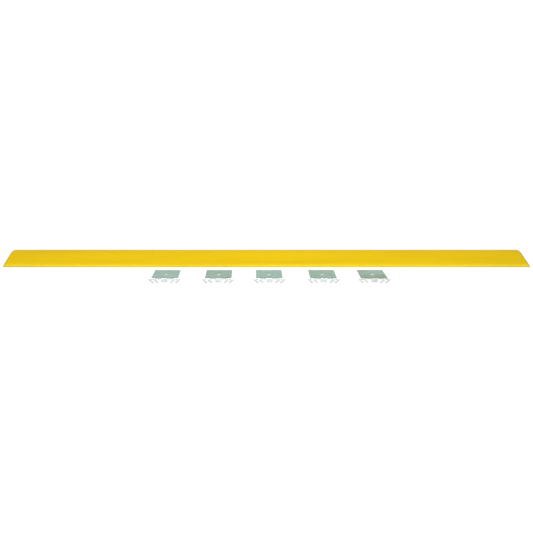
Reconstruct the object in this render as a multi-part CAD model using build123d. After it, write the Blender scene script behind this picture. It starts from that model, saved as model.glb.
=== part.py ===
from build123d import *
import math
import os

# Low parking wheel stop: a hollow extruded bar and five sheet-steel hold-down brackets
# laid out on the ground in front of it. Millimetres, +Z up, bar along X, front towards -Y.

# bar
bar_length = 2743.0
bar_width = 298.0
bar_lip = 7.5
ramp_angle = 17.5
crown_half = 44.0
wall = 6.0
foot_width = 18.0
rib_inner = 72.5
rib_wall = 6.0
bead_out = 3.0
lip_radius = 2.5

# bracket
plate_width = 127.0
plate_depth = 140.0
sheet = 3.2
bracket_height = 25.0
leg_lean = 4.0
bend_inside = 1.2
anchor_hole = 17.0
ear_reach = 13.0
notch_from = 36.5
notch_to = 43.5
notch_depth = 14.0
tongue_half = 14.0
toe_reach = 2.5
toe_length = 7.5
toe_height = 9.3

# layout on the ground
gap_to_bracket = 191.0  # from the bar's front edge to the middle of the plates
bracket_centres = [-495.0, -237.5, 8.0, 268.5, 511.5]

half_width = bar_width / 2
half_plate_x = plate_width / 2
half_plate_y = plate_depth / 2
bracket_front = half_plate_y + toe_reach
bar_y = (gap_to_bracket + bracket_front) / 2
bracket_y = bar_y - half_width - gap_to_bracket


def ramp_height(y):
    # outside height of the ramp at a distance y from the middle of the bar
    return bar_lip + (half_width - abs(y)) * math.tan(math.radians(ramp_angle))


def mirrored(points):
    return [(-y, z) for y, z in points]


def polygon(points):
    return make_face(Polyline(*points, close=True))


def bar_section():
    crown_start = ramp_height(crown_half)
    crown_radius = crown_half / math.sin(math.radians(ramp_angle))
    crown_top = crown_start + crown_radius * (1 - math.cos(math.radians(ramp_angle)))

    outside = [
        Line((-half_width, 0), (-half_width, bar_lip)),
        Line((-half_width, bar_lip), (-crown_half, crown_start)),
        ThreePointArc((-crown_half, crown_start), (0, crown_top), (crown_half, crown_start)),
        Line((crown_half, crown_start), (half_width, bar_lip)),
        Line((half_width, bar_lip), (half_width, 0)),
        Line((half_width, 0), (-half_width, 0)),
    ]
    section = make_face(outside)

    # middle hollow, open underneath, its roof following the crown
    roof = wall / math.cos(math.radians(ramp_angle))
    inside_edge = ramp_height(rib_inner) - roof
    middle = [
        Line((-rib_inner, 0), (-rib_inner, inside_edge)),
        Line((-rib_inner, inside_edge), (-crown_half, crown_start - roof)),
        ThreePointArc(
            (-crown_half, crown_start - roof), (0, crown_top - wall), (crown_half, crown_start - roof)
        ),
        Line((crown_half, crown_start - roof), (rib_inner, inside_edge)),
        Line((rib_inner, inside_edge), (rib_inner, 0)),
        Line((rib_inner, 0), (-rib_inner, 0)),
    ]
    section -= make_face(middle)

    # one cable channel under each ramp
    channel_in = rib_inner + rib_wall
    channel_out = half_width - foot_width
    channel = [
        (channel_in, 0),
        (channel_in, ramp_height(channel_in) - roof),
        (channel_out, ramp_height(channel_out) - roof),
        (channel_out, 0),
    ]
    section -= polygon(channel)
    section -= polygon(mirrored(channel))

    # snap bead along the inner face of each rib
    bead = [
        (rib_inner + 0.5, 13.0),
        (rib_inner, 13.0),
        (rib_inner - bead_out, 15.5),
        (rib_inner - bead_out, 17.0),
        (rib_inner, 20.5),
        (rib_inner + 0.5, 20.5),
    ]
    section += polygon(bead)
    section += polygon(mirrored(bead))

    corners = [v for v in section.vertices() if abs(abs(v.X) - half_width) < 0.01 and v.Y > 1]
    return fillet(corners, lip_radius)


def bar():
    section = Plane.YZ * bar_section()
    return Pos(0, bar_y, 0) * extrude(section, bar_length / 2, both=True)


def bent_sheet(reach):
    # folded sheet in side view, pulled out to a length of twice reach along X
    slope = leg_lean / bracket_height
    thick = sheet * math.sqrt(1 + slope * slope)
    bend = bend_inside + sheet
    corner = half_plate_y - bend + bend * (slope + math.sqrt(1 + slope * slope))
    inner_top = bracket_height - sheet
    outer_foot = corner - leg_lean
    inner_foot = outer_foot - thick
    inner_corner = inner_foot + inner_top * slope
    profile = polygon([
        (-outer_foot, 0),
        (-corner, bracket_height),
        (corner, bracket_height),
        (outer_foot, 0),
        (inner_foot, 0),
        (inner_corner, inner_top),
        (-inner_corner, inner_top),
        (-inner_foot, 0),
    ])
    tops = [v for v in profile.vertices() if abs(v.Y - bracket_height) < 0.01]
    profile = fillet(tops, bend)
    unders = [v for v in profile.vertices() if abs(abs(v.X) - inner_corner) < 0.01]
    profile = fillet(unders, bend_inside)
    return extrude(Plane.YZ * profile, reach, both=True)


def leg_outline(points, side):
    # front view outline (x, z) of one leg, on the front edge (side -1) or the back edge (side 1)
    start = side * (half_plate_y - 9.0)
    face = polygon([(x, z) for x, z in points])
    prism = extrude(Plane.XZ * face, 40, both=True)
    return Pos(0, start + side * 40, 0) * prism


def bracket():
    stock = bent_sheet(half_plate_x + ear_reach + 5)
    top = bracket_height + 1
    ear = half_plate_x + ear_reach

    # hooked corner leg: an ear beside the plate and an arm slanting in to the ground
    hook = [
        (51, top), (half_plate_x, top), (half_plate_x, 24), (ear - 2.5, 22.5), (ear, 20.5),
        (ear, 17.5), (57.5, 0), (49.5, 0), (68.5, 17.6), (51, 18.5),
    ]
    finger = [(43.5, top), (51, top), (51, 19.5), (34, 1.5), (27, 1.5), (43.5, 19)]
    plain = [(34, top), (48, top), (48, 5), (45, 0), (37, 0), (34, 5)]
    tongue = [(-tongue_half, top), (tongue_half, top), (tongue_half, toe_height),
              (-tongue_half, toe_height)]

    body = stock & Pos(0, 0, bracket_height) * Box(plate_width, 2 * (half_plate_y - 1.5), 2 * sheet)
    for side, outlines in ((-1, (hook, finger)), (1, (plain,))):
        for outline in outlines:
            flipped = [(-x, z) for x, z in outline]
            body += stock & leg_outline(outline, side)
            body += stock & leg_outline(flipped, side)
        body += stock & leg_outline(tongue, side)

    # turned-out toe on the front tongue
    toe = Box(2 * tongue_half, toe_length, sheet, align=(Align.CENTER, Align.MIN, Align.MIN))
    body += Pos(0, -bracket_front, toe_height) * toe

    # relief slots beside the fingers, then the anchor hole
    slot_middle = (notch_from + notch_to) / 2
    for side_x in (-1, 1):
        slot = Box(notch_to - notch_from, notch_depth * 2, 20)
        body -= Pos(side_x * slot_middle, -half_plate_y, bracket_height) * slot
    body -= Pos(0, 0, bracket_height) * Cylinder(anchor_hole / 2, 20)
    return body


os.makedirs("parts", exist_ok=True)
export_step(bar(), "parts/bar.step")
shape = bracket()
for number, x in enumerate(bracket_centres, start=1):
    placed = Pos(x, bracket_y, 0) * shape
    export_step(placed, f"parts/bracket_{number}.step")
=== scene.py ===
import math

import bmesh
import bpy
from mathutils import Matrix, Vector


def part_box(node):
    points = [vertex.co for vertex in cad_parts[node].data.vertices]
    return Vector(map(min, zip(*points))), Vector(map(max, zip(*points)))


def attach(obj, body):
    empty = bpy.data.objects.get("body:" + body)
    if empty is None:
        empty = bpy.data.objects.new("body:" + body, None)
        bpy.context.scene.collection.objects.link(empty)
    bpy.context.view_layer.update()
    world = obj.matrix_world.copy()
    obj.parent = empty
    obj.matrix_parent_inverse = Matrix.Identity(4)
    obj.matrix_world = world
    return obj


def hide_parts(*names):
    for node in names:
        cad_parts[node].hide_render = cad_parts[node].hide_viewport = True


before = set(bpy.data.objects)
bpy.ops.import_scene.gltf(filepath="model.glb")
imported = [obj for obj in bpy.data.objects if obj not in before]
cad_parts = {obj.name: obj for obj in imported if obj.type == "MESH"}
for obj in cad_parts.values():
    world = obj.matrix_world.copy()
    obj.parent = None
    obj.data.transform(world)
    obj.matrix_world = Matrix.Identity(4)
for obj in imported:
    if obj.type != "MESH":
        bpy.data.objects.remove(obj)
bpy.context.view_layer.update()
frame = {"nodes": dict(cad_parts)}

print("frame loaded:", ", ".join(frame["nodes"]))


# small helpers shared by the pieces
def linkObject(name, mesh):
    thing = bpy.data.objects.new(name, mesh)
    bpy.context.scene.collection.objects.link(thing)
    return thing


def roundedLoop(corners, radii, steps=4):
    # corners of a closed outline, each cut back and turned into a short arc
    outline = []
    count = len(corners)
    for i, corner in enumerate(corners):
        here = Vector(corner)
        before = Vector(corners[i - 1]) - here
        after = Vector(corners[(i + 1) % count]) - here
        radius = radii[i] if isinstance(radii, (list, tuple)) else radii
        turn = before.angle(after, 0.0)
        if radius <= 0 or turn < 0.02 or turn > math.pi - 0.02:
            outline.append(tuple(here))
            continue
        cut = radius / math.tan(turn / 2)
        cut = min(cut, before.length * 0.45, after.length * 0.45)
        start = here + before.normalized() * cut
        end = here + after.normalized() * cut
        for k in range(steps + 1):
            t = k / steps
            point = start * (1 - t) ** 2 + here * 2 * t * (1 - t) + end * t ** 2
            outline.append(tuple(point))
    return outline


def settleMesh(thing, sharpAngle):
    # modifiers are worked into the mesh, then edges sharper than the angle stay crisp
    depsgraph = bpy.context.evaluated_depsgraph_get()
    done = bpy.data.meshes.new_from_object(thing.evaluated_get(depsgraph))
    thing.modifiers.clear()
    thing.data = done
    done.shade_smooth()
    done.set_sharp_from_angle(angle=math.radians(sharpAngle))


def newMaterial(name):
    material = bpy.data.materials.new(name)
    material.use_nodes = True
    nodes = material.node_tree.nodes
    links = material.node_tree.links
    shader = next(n for n in nodes if n.type == "BSDF_PRINCIPLED")
    return material, nodes, links, shader


def noiseNode(nodes, links, place, scale, detail=4.0, roughness=0.5):
    noise = nodes.new("ShaderNodeTexNoise")
    noise.inputs["Scale"].default_value = scale
    noise.inputs["Detail"].default_value = detail
    noise.inputs["Roughness"].default_value = roughness
    links.new(place, noise.inputs["Vector"])
    return noise


def stretchNode(nodes, links, source, scale, turn=0.0):
    mapping = nodes.new("ShaderNodeMapping")
    mapping.inputs["Scale"].default_value = scale
    mapping.inputs["Rotation"].default_value = (0, 0, turn)
    links.new(source, mapping.inputs["Vector"])
    return mapping.outputs["Vector"]


def rampNode(nodes, links, source, stops):
    ramp = nodes.new("ShaderNodeValToRGB")
    elements = ramp.color_ramp.elements
    while len(elements) < len(stops):
        elements.new(0.5)
    for element, (place, shade) in zip(elements, stops):
        element.position = place
        element.color = (*shade, 1.0)
    links.new(source, ramp.inputs["Fac"])
    return ramp.outputs["Color"]


def spanNode(nodes, links, source, fromLow, fromHigh, toLow, toHigh):
    span = nodes.new("ShaderNodeMapRange")
    values = {"From Min": fromLow, "From Max": fromHigh, "To Min": toLow, "To Max": toHigh}
    for label, value in values.items():
        span.inputs[label].default_value = value
    links.new(source, span.inputs["Value"])
    return span.outputs["Result"]


def mixColour(nodes, links, amount, first, second, blend="MIX"):
    mix = nodes.new("ShaderNodeMix")
    mix.data_type = "RGBA"
    mix.blend_type = blend
    for value, socket in ((amount, mix.inputs[0]), (first, mix.inputs[6]), (second, mix.inputs[7])):
        if isinstance(value, bpy.types.NodeSocket):
            links.new(value, socket)
        elif isinstance(value, (int, float)):
            socket.default_value = value
        else:
            socket.default_value = (*value, 1.0)
    return mix.outputs[2]


def attributeNode(nodes, name):
    attribute = nodes.new("ShaderNodeAttribute")
    attribute.attribute_name = name
    return attribute.outputs["Fac"]


def productNode(nodes, links, first, second):
    product = nodes.new("ShaderNodeMath")
    product.operation = "MULTIPLY"
    for value, socket in zip((first, second), product.inputs):
        if isinstance(value, bpy.types.NodeSocket):
            links.new(value, socket)
        else:
            socket.default_value = value
    return product.outputs[0]


def bumpNode(nodes, links, height, distance, strength, under=None):
    bump = nodes.new("ShaderNodeBump")
    bump.inputs["Distance"].default_value = distance
    bump.inputs["Strength"].default_value = strength
    links.new(height, bump.inputs["Height"])
    if under is not None:
        links.new(under, bump.inputs["Normal"])
    return bump.outputs["Normal"]


# the two finishes
yellowPlastic = {
    "base": (0.742, 0.475, 0.0020),
    "deep": (0.704, 0.446, 0.0014),
    "pale": (0.764, 0.500, 0.0035),
    "roughness": (0.42, 0.56),
    "scuffAndHighlightPale": (0.82, 0.60, 0.09),
    "scuffAmount": 0.35,
    "footHighlight": (0.86, 0.64, 0.022),
    "groundShade": (0.40, 0.27, 0.030),
    "endShade": (0.36, 0.30, 0.012),
    "sawn": (0.80, 0.56, 0.030),
    "dieLineDepth": 0.00006,
    "grainDepth": 0.00004,
    "sawDepth": 0.00015,
    "refraction": 1.49,
    "gloss": 0.13,
    # light that sinks in and comes back out: how much, how far for red, green and blue, and its scale
    "glowAmount": 0.06,
    "glowReach": (0.004, 0.0022, 0.0004),
    "glowScale": 0.5,
}


def makeYellowPlastic(look):
    material, nodes, links, shader = newMaterial("yellowPlastic")
    place = nodes.new("ShaderNodeTexCoord").outputs["Object"]

    # slow drift of the pigment along the extrusion, then a fine mottle
    drift = noiseNode(nodes, links, stretchNode(nodes, links, place, (1.2, 7, 7)), 1.6, 3)
    colour = rampNode(nodes, links, drift.outputs["Fac"], [
        (0.30, look["deep"]), (0.52, look["base"]), (0.78, look["pale"])])
    mottle = noiseNode(nodes, links, place, 420, 3, 0.6)
    mottleShade = rampNode(nodes, links, mottle.outputs["Fac"], [
        (0.35, (0.95,) * 3), (0.65, (1.03,) * 3)])
    colour = mixColour(nodes, links, 1.0, colour, mottleShade, "MULTIPLY")

    # long hairline scuffs from handling, mostly lengthways
    scuffs = noiseNode(nodes, links, stretchNode(nodes, links, place, (6, 260, 260), 0.03), 1.0, 6, 0.62)
    scuffMask = spanNode(nodes, links, scuffs.outputs["Fac"], 0.66, 0.78, 0.0, look["scuffAmount"])
    colour = mixColour(nodes, links, scuffMask, colour, look["scuffAndHighlightPale"])

    # painted highlight: the foot of each ramp is painted paler in patches
    patchy = noiseNode(nodes, links, stretchNode(nodes, links, place, (3, 30, 30)), 1.0, 3, 0.45)
    patchAmount = spanNode(nodes, links, patchy.outputs["Fac"], 0.3, 0.6, 0.6, 0.9)
    footHighlight = productNode(nodes, links, attributeNode(nodes, "footHighlight"), patchAmount)
    colour = mixColour(nodes, links, footHighlight, colour, look["footHighlight"])
    # painted shade: the bottom of the lip is darkened near the ground, more towards the ends
    groundShadeAmount = spanNode(nodes, links, patchy.outputs["Fac"], 0.35, 0.65, 0.95, 0.75)
    groundShade = productNode(nodes, links, attributeNode(nodes, "groundShade"), groundShadeAmount)
    colour = mixColour(nodes, links, groundShade, colour, look["groundShade"])
    # painted shade: a dark band runs round each cut end
    endShade = productNode(nodes, links, attributeNode(nodes, "endShadeBand"), patchAmount)
    colour = mixColour(nodes, links, endShade, colour, look["endShade"])

    # sawn ends are paler than the skin
    sawn = attributeNode(nodes, "sawn")
    colour = mixColour(nodes, links, productNode(nodes, links, sawn, 0.8), colour, look["sawn"])
    # convex edges are painted paler: partly edge wear, partly painted highlight
    edge = nodes.new("ShaderNodeNewGeometry").outputs["Pointiness"]
    edgeWearAndHighlight = spanNode(nodes, links, edge, 0.53, 0.62, 0.0, 0.45)
    colour = mixColour(nodes, links, edgeWearAndHighlight, colour, look["scuffAndHighlightPale"])
    links.new(colour, shader.inputs["Base Color"])

    cloud = noiseNode(nodes, links, stretchNode(nodes, links, place, (3, 14, 14)), 3.0, 5)
    low, high = look["roughness"]
    roughness = spanNode(nodes, links, cloud.outputs["Fac"], 0.3, 0.7, low, high)
    links.new(roughness, shader.inputs["Roughness"])

    # die lines run the whole length, with a very fine skin grain over them
    dieLines = noiseNode(nodes, links, stretchNode(nodes, links, place, (0.6, 340, 340)), 1.0, 4, 0.55)
    grain = noiseNode(nodes, links, place, 900, 2, 0.5)
    normal = bumpNode(nodes, links, dieLines.outputs["Fac"], look["dieLineDepth"], 0.6)
    normal = bumpNode(nodes, links, grain.outputs["Fac"], look["grainDepth"], 0.45, normal)
    blade = noiseNode(nodes, links, stretchNode(nodes, links, place, (40, 130, 1500)), 1.0, 2, 0.5)
    bladeHeight = productNode(nodes, links, sawn, blade.outputs["Fac"])
    normal = bumpNode(nodes, links, bladeHeight, look["sawDepth"], 0.8, normal)
    links.new(normal, shader.inputs["Normal"])

    shader.inputs["IOR"].default_value = look["refraction"]
    shader.inputs["Specular IOR Level"].default_value = look["gloss"]
    shader.inputs["Subsurface Weight"].default_value = look["glowAmount"]
    shader.inputs["Subsurface Radius"].default_value = look["glowReach"]
    shader.inputs["Subsurface Scale"].default_value = look["glowScale"]
    return material


galvanisedSteel = {
    "dull": (0.655, 0.785, 0.735),
    "mid": (0.715, 0.845, 0.800),
    "bright": (0.785, 0.915, 0.880),
    "olive": (0.575, 0.635, 0.455),
    "sideFacingShade": (0.62, 0.62, 0.65),
    "crystalSize": 115,
    "roughness": (0.26, 0.42),
    "scratch": (0.80, 0.90, 0.86),
    "cutFace": (0.34, 0.345, 0.36),
    "cutRoughness": 0.55,
    "crystalDepth": 0.00005,
    "rippleDepth": 0.00006,
    "metallic": 0.9,
}


def makeGalvanisedSteel(look):
    material, nodes, links, shader = newMaterial("galvanisedSteel")
    place = nodes.new("ShaderNodeTexCoord").outputs["Object"]

    # zinc crystals: cells of slightly different brightness, pushed about so they are not straight
    push = noiseNode(nodes, links, place, 60, 3)
    pushed = mixColour(nodes, links, 0.04, place, push.outputs["Color"], "LINEAR_LIGHT")
    crystals = nodes.new("ShaderNodeTexVoronoi")
    crystals.inputs["Scale"].default_value = look["crystalSize"]
    links.new(pushed, crystals.inputs["Vector"])
    tone = nodes.new("ShaderNodeSeparateColor")
    links.new(crystals.outputs["Color"], tone.inputs["Color"])
    colour = rampNode(nodes, links, tone.outputs["Red"], [
        (0.05, look["dull"]), (0.55, look["mid"]), (0.95, look["bright"])])

    facing = nodes.new("ShaderNodeSeparateXYZ")
    links.new(nodes.new("ShaderNodeNewGeometry").outputs["Normal"], facing.inputs["Vector"])
    upward = spanNode(nodes, links, facing.outputs["Z"], 0.35, 0.9, 0.0, 1.0)

    # the zinc drifts from blue-green to olive on top, and cloudy oxide lies over several crystals
    drift = noiseNode(nodes, links, place, 6.5, 2, 0.4)
    driftMask = spanNode(nodes, links, drift.outputs["Fac"], 0.36, 0.60, 0.3, 0.9)
    driftMask = productNode(nodes, links, attributeNode(nodes, "patina"), driftMask)
    driftMask = productNode(nodes, links, driftMask, upward)
    colour = mixColour(nodes, links, driftMask, colour, look["olive"])
    cloud = noiseNode(nodes, links, place, 22, 5, 0.6)
    cloudShade = rampNode(nodes, links, cloud.outputs["Fac"], [
        (0.30, (0.88, 0.90, 0.87)), (0.70, (1.06, 1.05, 1.04))])
    colour = mixColour(nodes, links, 1.0, colour, cloudShade, "MULTIPLY")

    # painted shade: faces that do not face up, the legs, the lower bends and undersides, get a greyer,
    # darker zinc than the plate
    colour = mixColour(nodes, links, upward, look["sideFacingShade"], colour)

    # fine scratches from the press and from rubbing in the carton
    scratches = noiseNode(nodes, links, stretchNode(nodes, links, place, (40, 900, 900), 0.5), 1.0, 3, 0.5)
    scratchMask = spanNode(nodes, links, scratches.outputs["Fac"], 0.68, 0.76, 0.0, 0.5)
    colour = mixColour(nodes, links, scratchMask, colour, look["scratch"])

    # sheared faces show bare dark steel under a torn film of zinc
    cut = attributeNode(nodes, "cutFace")
    torn = noiseNode(nodes, links, stretchNode(nodes, links, place, (300, 300, 90)), 1.0, 4, 0.6)
    film = spanNode(nodes, links, torn.outputs["Fac"], 0.35, 0.75, 1.0, 0.62)
    colour = mixColour(nodes, links, productNode(nodes, links, cut, film), colour, look["cutFace"])
    links.new(colour, shader.inputs["Base Color"])

    low, high = look["roughness"]
    polish = spanNode(nodes, links, tone.outputs["Green"], 0.0, 1.0, low, high)
    roughness = nodes.new("ShaderNodeMix")
    links.new(cut, roughness.inputs[0])
    links.new(polish, roughness.inputs[2])
    roughness.inputs[3].default_value = look["cutRoughness"]
    links.new(roughness.outputs[0], shader.inputs["Roughness"])
    ripple = noiseNode(nodes, links, place, 260, 4, 0.6)
    normal = bumpNode(nodes, links, crystals.outputs["Distance"], look["crystalDepth"], 0.35)
    normal = bumpNode(nodes, links, ripple.outputs["Fac"], look["rippleDepth"], 0.5, normal)
    links.new(normal, shader.inputs["Normal"])
    shader.inputs["Metallic"].default_value = look["metallic"]
    return material


plastic = makeYellowPlastic(yellowPlastic)
zinc = makeGalvanisedSteel(galvanisedSteel)
print("finishes made")


# the bar
barShape = {
    "lip": 0.0075,
    "lipRound": 0.0024,
    "rampAngle": 17.5,
    "crownHalf": 0.044,
    "wall": 0.006,
    "foot": 0.018,
    "ribInner": 0.0725,
    "ribWall": 0.006,
    "bead": 0.0030,
    "beadHeights": (0.0205, 0.0170, 0.0155, 0.0130),
    "longestRun": 0.014,
    "stationGap": 0.022,
    "waviness": 0.00022,
    "cutEdge": 0.0007,
    "footHighlightWidth": 0.020,
    "groundShadeWidth": 0.004,
    "endShadeWidth": 0.002,
    "endBand": 0.009,
}


def barSection(shape, halfWidth):
    slope = math.tan(math.radians(shape["rampAngle"]))
    roofDrop = shape["wall"] / math.cos(math.radians(shape["rampAngle"]))
    crownRadius = shape["crownHalf"] / math.sin(math.radians(shape["rampAngle"]))

    def rampHeight(y):
        return shape["lip"] + (halfWidth - abs(y)) * slope

    def crownPoints(drop, steps):
        # arc over the middle, from the front ramp to the back ramp
        points = []
        top = rampHeight(shape["crownHalf"])
        centre = top - crownRadius * math.cos(math.radians(shape["rampAngle"]))
        for k in range(steps + 1):
            angle = math.radians(shape["rampAngle"]) * (2 * k / steps - 1)
            points.append((crownRadius * math.sin(angle), centre + crownRadius * math.cos(angle) - drop))
        return points

    ribOuter = shape["ribInner"] + shape["ribWall"]
    footInner = halfWidth - shape["foot"]
    ribInner = shape["ribInner"]
    beadSide = ribInner - shape["bead"]
    beadTop, beadUpper, beadLower, beadFoot = shape["beadHeights"]

    # back half of the underside, from the middle roof out to the lip, with each corner's radius
    under = [
        (ribInner, rampHeight(ribInner) - roofDrop, 0.0015),
        (ribInner, beadTop, 0.0010),
        (beadSide, beadUpper, 0.0008),
        (beadSide, beadLower, 0.0008),
        (ribInner, beadFoot, 0.0008),
        (ribInner, 0.0, 0.0008),
        (ribOuter, 0.0, 0.0008),
        (ribOuter, rampHeight(ribOuter) - roofDrop, 0.0015),
        (footInner, rampHeight(footInner) - roofDrop, 0.0012),
        (footInner, 0.0, 0.0008),
        (halfWidth, 0.0, 0.0010),
        (halfWidth, shape["lip"], shape["lipRound"]),
    ]
    corners = list(under)
    corners += [(y, z, 0) for y, z in reversed(crownPoints(0, 18))]
    corners += [(-y, z, r) for y, z, r in reversed(under)]
    corners += [(y, z, 0) for y, z in crownPoints(roofDrop, 14)]
    return roundedLoop([(y, z) for y, z, r in corners], [r for y, z, r in corners], 4)


def spreadLong(loop, longest):
    # long straight runs get points in between, so the skin can wander a little
    spread = []
    for i, point in enumerate(loop):
        following = loop[(i + 1) % len(loop)]
        run = math.dist(point, following)
        pieces = max(1, math.ceil(run / longest))
        for k in range(pieces):
            t = k / pieces
            y = point[0] + (following[0] - point[0]) * t
            z = point[1] + (following[1] - point[1]) * t
            spread.append((y, z))
    return spread


def wander(x, y, amount):
    # smooth unevenness left by cooling: long swells with a small cross ripple
    return amount * (
        math.sin(x * 5.3 + 0.7) * 0.6
        + math.sin(x * 11.9 + y * 21 + 2.1) * 0.3
        + math.sin(x * 27 - y * 35) * 0.12
    )


def markBar(mesh, shape, low, high):
    # where the skin gets painted highlight or painted shade, or is sawn, kept on the mesh for the finish
    # to read
    middleY = (low[1] + high[1]) / 2
    halfWidth = (high[1] - low[1]) / 2
    footHighlight = mesh.attributes.new("footHighlight", "FLOAT", "POINT")
    groundShade = mesh.attributes.new("groundShade", "FLOAT", "POINT")
    endShade = mesh.attributes.new("endShadeBand", "FLOAT", "POINT")
    sawn = mesh.attributes.new("sawn", "FLOAT", "FACE")
    for vert in mesh.vertices:
        fromEnd = min(vert.co.x - low[0], high[0] - vert.co.x)
        # painted shade band at each cut end
        endShade.data[vert.index].value = float(fromEnd < shape["endShadeWidth"])
        # the painted shade grows stronger towards the ends of the bar
        shadeTowardEnd = 0.35 + 0.65 * max(0.0, min(1.0, 1 - (fromEnd - 0.15) / 0.25))
        inward = halfWidth - abs(vert.co.y - middleY)
        # painted highlight band along the foot of each ramp
        onRamp = vert.co.z > shape["lip"] - shape["lipRound"] and inward < shape["footHighlightWidth"]
        footHighlight.data[vert.index].value = 1 - inward / shape["footHighlightWidth"] if onRamp else 0.0
        nearGround = max(0.0, 1 - vert.co.z / shape["lip"])
        groundShade.data[vert.index].value = nearGround * shadeTowardEnd if inward < shape["groundShadeWidth"] else 0.0
    for face in mesh.polygons:
        sawn.data[face.index].value = float(abs(face.normal.x) > 0.9)


def makeBar(shape):
    low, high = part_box("bar")
    middleY = (low[1] + high[1]) / 2
    halfWidth = (high[1] - low[1]) / 2
    loop = spreadLong(barSection(shape, halfWidth), shape["longestRun"])
    band = shape["endBand"]
    span = high[0] - low[0] - 2 * band
    stations = math.ceil(span / shape["stationGap"])
    inner = [low[0] + band + span * i / stations for i in range(stations + 1)]
    places = [low[0], *inner, high[0]]
    mesh = bpy.data.meshes.new("wheelStopBar")
    skin = bmesh.new()
    rings = []
    for x in places:
        ring = []
        for y, z in loop:
            lift = wander(x, y, shape["waviness"]) if z > 0.002 else 0.0
            ring.append(skin.verts.new((x, middleY + y, z + lift)))
        rings.append(ring)
    count = len(loop)
    for first, second in zip(rings, rings[1:]):
        for k in range(count):
            skin.faces.new((first[k], first[(k + 1) % count], second[(k + 1) % count], second[k]))
    skin.faces.new(list(reversed(rings[0])))
    skin.faces.new(rings[-1])
    bmesh.ops.recalc_face_normals(skin, faces=skin.faces)
    skin.to_mesh(mesh)
    skin.free()
    bar = linkObject("wheelStopBar", mesh)
    softCut = bar.modifiers.new("softCut", "BEVEL")
    softCut.width = shape["cutEdge"]
    softCut.segments = 2
    softCut.limit_method = "ANGLE"
    softCut.angle_limit = math.radians(60)
    settleMesh(bar, 38)
    markBar(bar.data, shape, low, high)
    bar.data.materials.append(plastic)
    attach(bar, "bar")
    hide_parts("bar")
    return bar


bar = makeBar(barShape)
print("bar made:", len(bar.data.vertices), "points")


# the brackets
bracketShape = {
    "width": 0.127,
    "depth": 0.140,
    "sheet": 0.0032,
    "height": 0.025,
    "bendOutside": 0.0044,
    "legLean": 0.004,
    "anchorHole": 0.0085,
    "slot": (0.0365, 0.0435, 0.014),
    "tongueHalf": 0.014,
    "backLeg": (0.048, 0.034),
    # corner hook and finger as points of (distance from the middle, height above the ground)
    "hook": [
        (0.0635, 0.024), (0.0740, 0.0225), (0.0765, 0.0205), (0.0765, 0.0175),
        (0.0575, 0), (0.0495, 0), (0.0685, 0.0176), (0.0510, 0.0186)],
    "fingerFoot": [(0.034, 0.0015), (0.027, 0.0015)],
    "fingerTop": 0.019,
    "backTongueFoot": 0.0093,
    "backLegTaper": (0.003, 0.005),
    "toeTop": 0.0125,
    "toeFront": 0.0725,
    "toeBend": 0.0016,
    "cornerRound": 0.0012,
    "edgeRound": 0.00035,
    "gridStep": 0.0121,
    "gridShift": 0.0003,
    "patina": (0.12, 0.60, 0.08, 0.45, 1.00),
}


def foldFacts(shape):
    # numbers of the folded sheet, seen from the side: the plate, its bends and the leaning legs
    lean = math.atan(shape["legLean"] / shape["height"])
    bend = shape["bendOutside"]
    turn = math.pi / 2 + lean
    facts = {"lean": lean, "bend": bend, "flat": shape["depth"] / 2 - bend, "arc": bend * turn}
    facts["legStartY"] = facts["flat"] + bend * math.sin(turn)
    facts["legStartZ"] = shape["height"] - bend * (1 - math.cos(turn))
    facts["legFrom"] = facts["flat"] + facts["arc"]

    # the toe: how far down the leg it starts, and the middle of its small reverse bend
    radius = shape["toeBend"]
    drop = facts["legStartZ"] - shape["toeTop"] - radius * (1 + math.sin(lean))
    facts["toeStart"] = drop / math.cos(lean)
    facts["toeMiddleY"] = facts["legStartY"] - drop * math.tan(lean) + radius * math.cos(lean)
    facts["toeMiddleZ"] = shape["toeTop"] + radius
    facts["toeArc"] = radius * turn
    toeFlat = shape["toeFront"] - facts["toeMiddleY"]
    facts["toeEnd"] = facts["legFrom"] + facts["toeStart"] + facts["toeArc"] + toeFlat
    return facts


def alongSheet(facts, shape, z):
    # how far along the unfolded sheet a height z lies, from the middle of the plate
    if z >= facts["legStartZ"]:
        angle = math.acos(max(-1.0, min(1.0, 1 - (shape["height"] - z) / facts["bend"])))
        return facts["flat"] + facts["bend"] * angle
    return facts["legFrom"] + (facts["legStartZ"] - z) / math.cos(facts["lean"])


def blankOutline(shape, facts):
    # the flat blank before folding: hooks, fingers and tongue in front,
    # two plain legs and a tongue behind
    half = shape["width"] / 2
    slotEnd = shape["depth"] / 2 - shape["slot"][2]
    slotIn, slotOut = shape["slot"][:2]
    tongue = shape["tongueHalf"]
    cutEdge = facts["flat"] + shape["sheet"]

    def reach(z):
        return alongSheet(facts, shape, z)

    hook = [(x, reach(z)) for x, z in shape["hook"]]
    finger = [(x, reach(z)) for x, z in shape["fingerFoot"]] + [(slotOut, reach(shape["fingerTop"]))]
    slot = [(slotOut, slotEnd), (slotIn, slotEnd), (slotIn, cutEdge)]
    front = hook + finger + slot + [(tongue, cutEdge), (tongue, facts["toeEnd"])]
    legOut, legIn = shape["backLeg"]
    across, up = shape["backLegTaper"]
    back = [
        (half, cutEdge), (legOut, cutEdge), (legOut, reach(up)), (legOut - across, reach(0)),
        (legIn + across, reach(0)), (legIn, reach(up)), (legIn, cutEdge),
        (tongue, cutEdge), (tongue, reach(shape["backTongueFoot"])),
    ]
    outline = [(x, -v) for x, v in front] + [(-x, -v) for x, v in reversed(front)]
    outline += [(-x, v) for x, v in back] + [(x, v) for x, v in reversed(back)]
    return outline


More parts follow.
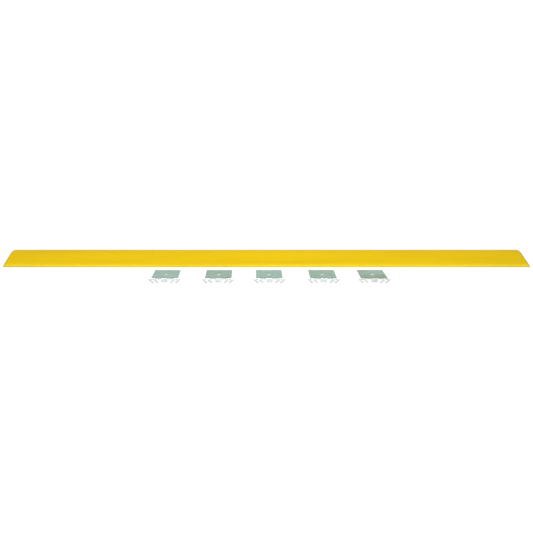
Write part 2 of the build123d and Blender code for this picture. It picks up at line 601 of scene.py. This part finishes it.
def foldPoint(shape, facts, x, v):
    # a point of the flat blank carried to its place on the folded sheet
    side = 1 if v >= 0 else -1
    along = abs(v)
    if along <= facts["flat"]:
        return Vector((x, v, shape["height"]))
    if along <= facts["legFrom"]:
        angle = (along - facts["flat"]) / facts["bend"]
        y = facts["flat"] + facts["bend"] * math.sin(angle)
        return Vector((x, side * y, shape["height"] - facts["bend"] * (1 - math.cos(angle))))
    down = along - facts["legFrom"]
    lean = facts["lean"]
    past = down - facts["toeStart"]
    if side < 0 and abs(x) <= shape["tongueHalf"] + 1e-6 and past > 0:
        angle = math.pi - lean + min(past, facts["toeArc"]) / shape["toeBend"]
        y = facts["toeMiddleY"] + shape["toeBend"] * math.cos(angle) + max(0.0, past - facts["toeArc"])
        return Vector((x, side * y, facts["toeMiddleZ"] + shape["toeBend"] * math.sin(angle)))
    y = facts["legStartY"] - down * math.sin(lean)
    return Vector((x, side * y, facts["legStartZ"] - down * math.cos(lean)))


def makeBlank(shape, facts):
    outline = roundedLoop(blankOutline(shape, facts), shape["cornerRound"], 3)
    sheet = bmesh.new()
    ring = [sheet.verts.new((x, v, 0)) for x, v in outline]
    edges = [sheet.edges.new((ring[i], ring[(i + 1) % len(ring)])) for i in range(len(ring))]
    holeSteps = 48
    radius = shape["anchorHole"]
    hole = []
    for k in range(holeSteps):
        angle = 2 * math.pi * k / holeSteps
        hole.append(sheet.verts.new((radius * math.cos(angle), radius * math.sin(angle), 0)))
    edges += [sheet.edges.new((hole[i], hole[(i + 1) % holeSteps])) for i in range(holeSteps)]
    bmesh.ops.triangle_fill(sheet, use_beauty=True, use_dissolve=False, edges=edges)

    # cut lines: close together through the bends, wider over the plate
    bendSteps = 10
    cuts = [facts["flat"] + facts["arc"] * k / bendSteps for k in range(bendSteps + 1)]
    cuts += [facts["legFrom"] + facts["toeStart"] + facts["toeArc"] * k / 6 for k in range(7)]
    cuts += [facts["legFrom"] + facts["legStartZ"] * k / 7 for k in range(1, 7)]
    cuts += [facts["flat"] * (k + 0.5) / 5.2 for k in range(5)]
    for place in cuts:
        for side in (-1, 1):
            bmesh.ops.bisect_plane(
                sheet, geom=sheet.verts[:] + sheet.edges[:] + sheet.faces[:],
                plane_co=(0, side * place, 0), plane_no=(0, 1, 0), dist=1e-6)
    for k in range(-5, 6):
        bmesh.ops.bisect_plane(
            sheet, geom=sheet.verts[:] + sheet.edges[:] + sheet.faces[:],
            plane_co=(k * shape["gridStep"] + shape["gridShift"], 0, 0), plane_no=(1, 0, 0), dist=1e-6)
    for vert in sheet.verts:
        vert.co = foldPoint(shape, facts, vert.co.x, vert.co.y)
    bmesh.ops.recalc_face_normals(sheet, faces=sheet.faces)
    for face in sheet.faces:
        if face.calc_center_median().z > shape["height"] - 1e-5:
            if face.normal.z < 0:
                bmesh.ops.reverse_faces(sheet, faces=sheet.faces)
            break
    return sheet


def makeBracketMesh(shape):
    facts = foldFacts(shape)
    sheet = makeBlank(shape, facts)
    mesh = bpy.data.meshes.new("bracketSheet")
    sheet.to_mesh(mesh)
    sheet.free()
    bracket = linkObject("bracketPattern", mesh)
    thicken = bracket.modifiers.new("thicken", "SOLIDIFY")
    thicken.thickness = shape["sheet"]
    thicken.offset = -1
    thicken.use_even_offset = True
    thicken.material_offset_rim = 1
    mesh.materials.append(None)
    mesh.materials.append(None)
    soften = bracket.modifiers.new("soften", "BEVEL")
    soften.width = shape["edgeRound"]
    soften.segments = 2
    soften.limit_method = "ANGLE"
    soften.angle_limit = math.radians(55)
    settleMesh(bracket, 35)
    done = bracket.data
    bpy.data.objects.remove(bracket)
    cutFace = done.attributes.new("cutFace", "FLOAT", "FACE")
    for face in done.polygons:
        sheared = face.material_index == 1 and face.center.xy.length > shape["anchorHole"] * 1.1
        cutFace.data[face.index].value = float(sheared)
        face.material_index = 0
    done.materials.clear()
    return done


def placeBrackets(shape):
    pattern = makeBracketMesh(shape)
    halfDepth = shape["depth"] / 2
    made = []
    for number, patinaAmount in enumerate(shape["patina"], start=1):
        node = f"bracket_{number}"
        low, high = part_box(node)
        middleX = (low[0] + high[0]) / 2
        middleY = high[1] - halfDepth
        mesh = pattern.copy()
        for vert in mesh.vertices:
            vert.co.x += middleX
            vert.co.y += middleY
            vert.co.z += low[2]
        patina = mesh.attributes.new("patina", "FLOAT", "POINT")
        patina.data.foreach_set("value", [patinaAmount] * len(mesh.vertices))
        piece = linkObject(f"holdDownBracket{number}", mesh)
        mesh.materials.append(zinc)
        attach(piece, node)
        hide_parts(node)
        made.append(piece)
    return made


brackets = placeBrackets(bracketShape)
print("brackets made:", len(brackets), "each", len(brackets[0].data.vertices), "points")


# floor, lights and camera
studio = {
    "floorSize": 30.0,
    "floorShade": (0.22, 0.22, 0.22),
    "floorGlow": 0.88,
    "sunStrength": 1.22,
    "sunHeight": 74.0,
    "sunSoftness": 50.0,
    "boxPower": 63.0,
    "boxSize": (2.4, 1.2),
    "boxPlace": (-0.10, -1.25, 2.85),
    "boxAim": (0, 0.1, 0),
    "sky": [
        (0.00, (1.06, 1.06, 1.06)), (0.13, (1.06, 1.06, 1.06)), (0.28, (0.51, 0.71, 0.64)),
        (0.50, (0.16, 0.21, 0.20)), (1.00, (0.09, 0.10, 0.10))],
}


def makeFloor(look):
    material, nodes, links, shader = newMaterial("studioFloor")
    place = nodes.new("ShaderNodeTexCoord").outputs["Object"]
    speck = noiseNode(nodes, links, place, 14, 4)
    shade = look["floorShade"]
    colour = rampNode(nodes, links, speck.outputs["Fac"], [
        (0.3, tuple(c * 0.99 for c in shade)), (0.7, shade)])
    links.new(colour, shader.inputs["Base Color"])
    shader.inputs["Roughness"].default_value = 0.9
    shader.inputs["Specular IOR Level"].default_value = 0.1
    shader.inputs["Emission Color"].default_value = (1, 1, 1, 1)
    shader.inputs["Emission Strength"].default_value = look["floorGlow"]
    half = look["floorSize"] / 2
    mesh = bpy.data.meshes.new("studioFloor")
    corners = [(-half, -half, 0), (half, -half, 0), (half, half, 0), (-half, half, 0)]
    mesh.from_pydata(corners, [], [(0, 1, 2, 3)])
    mesh.materials.append(material)
    floor = linkObject("studioFloor", mesh)


def makeSky(look):
    # pale near the horizon, dimmer overhead, so flat metal keeps its grey
    world = bpy.data.worlds.new("studioSky")
    bpy.context.scene.world = world
    world.use_nodes = True
    nodes = world.node_tree.nodes
    links = world.node_tree.links
    background = next(n for n in nodes if n.type == "BACKGROUND")
    direction = nodes.new("ShaderNodeTexCoord").outputs["Generated"]
    split = nodes.new("ShaderNodeSeparateXYZ")
    links.new(direction, split.inputs["Vector"])
    shade = rampNode(nodes, links, split.outputs["Z"], look["sky"])
    links.new(shade, background.inputs["Color"])
    background.inputs["Strength"].default_value = 1.0


def makeLights(look):
    sun = bpy.data.lights.new("softSun", "SUN")
    sun.energy = look["sunStrength"]
    sun.angle = math.radians(look["sunSoftness"])
    sunObject = bpy.data.objects.new("softSun", sun)
    sunObject.rotation_euler = (math.radians(90 - look["sunHeight"]), 0, 0)
    bpy.context.scene.collection.objects.link(sunObject)
    box = bpy.data.lights.new("frontBox", "AREA")
    box.shape = "RECTANGLE"
    box.size, box.size_y = look["boxSize"]
    box.energy = look["boxPower"]
    boxObject = bpy.data.objects.new("frontBox", box)
    boxObject.location = look["boxPlace"]
    aim = Vector(look["boxAim"]) - Vector(look["boxPlace"])
    boxObject.rotation_euler = aim.to_track_quat("-Z", "Y").to_euler()
    bpy.context.scene.collection.objects.link(boxObject)


viewpoint = {
    "place": (-0.0729, -2.9503, 0.9242),
    "tiltDown": 17.42,
    "lens": 39.88,
    "slide": 0.0263,
}


def makeCamera(look):
    lens = bpy.data.cameras.new("viewCamera")
    lens.lens = look["lens"]
    lens.sensor_width = 36.0
    lens.shift_x = look["slide"]
    lens.clip_end = 100
    camera = bpy.data.objects.new("viewCamera", lens)
    camera.location = look["place"]
    camera.rotation_euler = (math.radians(90 - look["tiltDown"]), 0, 0)
    bpy.context.scene.collection.objects.link(camera)
    bpy.context.scene.camera = camera


makeFloor(studio)
makeSky(studio)
makeLights(studio)
makeCamera(viewpoint)
bpy.context.scene.view_settings.view_transform = "Standard"
print("studio ready")
